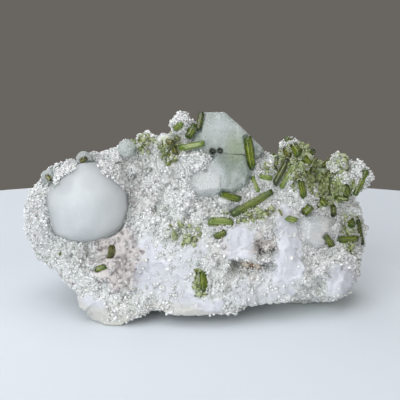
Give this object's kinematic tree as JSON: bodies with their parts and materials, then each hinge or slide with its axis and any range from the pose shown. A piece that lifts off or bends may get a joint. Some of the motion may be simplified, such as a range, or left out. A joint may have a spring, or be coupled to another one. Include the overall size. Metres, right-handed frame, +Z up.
{
  "type": "pollucite specimen on matrix",
  "caption": "Loose mineral specimen: large milky pollucite crystals and green tourmaline prisms grown in a wedge of sugary white albite with pale lilac mica, standing on its broken foot.",
  "frame": {"origin": "on the level that the stone rests on, under the middle of its bounding box", "axes": "+X runs to the right across the show face, along the longest side; +Y points away from the viewer of the show face, through the thin side; +Z is up"},
  "size_m": [0.1512, 0.0662, 0.0838],
  "materials": {
    "albite": "broken sugary feldspar, matte white with fine sparkling grains",
    "pollucite": "milky, see-through at the edges, soft etched faces",
    "quartz": "clear grey, with flat shining faces",
    "stained": "grey-brown crust of tiny crystals",
    "tourmaline": "green, glassy, with fine ridges along the prism"
  },
  "bodies": {
    "root": {"matrix": "albite", "pollucite_left": "pollucite", "pollucite_top": "pollucite", "pollucite_centre": "pollucite", "pollucite_crest_small": "pollucite", "pollucite_rim_upper": "pollucite", "pollucite_rim_lower": "pollucite", "pollucite_chip": "pollucite", "quartz_right": "quartz", "cavity_crust": "stained", "slot_crust": "stained", "tourmaline_crest_dark": "tourmaline", "tourmaline_crest_bright": "tourmaline", "tourmaline_crest_lying": "tourmaline", "tourmaline_crest_round_a": "tourmaline", "tourmaline_crest_round_b": "tourmaline", "tourmaline_knob_pale": "tourmaline", "tourmaline_top_upright": "tourmaline", "tourmaline_black_left": "tourmaline", "tourmaline_black_right": "tourmaline", "tourmaline_saddle_thin": "tourmaline", "tourmaline_fan_dark": "tourmaline", "tourmaline_fan_pale": "tourmaline", "tourmaline_longest": "tourmaline", "tourmaline_fan_cross": "tourmaline", "tourmaline_fan_streak": "tourmaline", "tourmaline_below_fan": "tourmaline", "tourmaline_knob_one_block": "tourmaline", "tourmaline_knob_one_left": "tourmaline", "tourmaline_knob_one_right": "tourmaline", "tourmaline_knob_one_top": "tourmaline", "tourmaline_knob_one_edge": "tourmaline", "tourmaline_knob_two_right": "tourmaline", "tourmaline_knob_two_olive": "tourmaline", "tourmaline_knob_two_left": "tourmaline", "tourmaline_gap_dark": "tourmaline", "tourmaline_knob_two_front": "tourmaline", "tourmaline_knob_two_low": "tourmaline", "tourmaline_below_knobs": "tourmaline", "tourmaline_right_block": "tourmaline", "tourmaline_right_dark": "tourmaline", "tourmaline_right_stub": "tourmaline", "tourmaline_right_rounded": "tourmaline", "tourmaline_right_lying": "tourmaline", "tourmaline_edge_upright": "tourmaline", "tourmaline_middle_thick": "tourmaline", "tourmaline_middle_taper": "tourmaline", "tourmaline_middle_short": "tourmaline", "tourmaline_pillar_pale": "tourmaline", "tourmaline_pit_bright": "tourmaline", "tourmaline_mica_round": "tourmaline", "tourmaline_mica_lying": "tourmaline", "tourmaline_rim_green": "tourmaline", "tourmaline_rim_small": "tourmaline"}
  },
  "joints": []
}
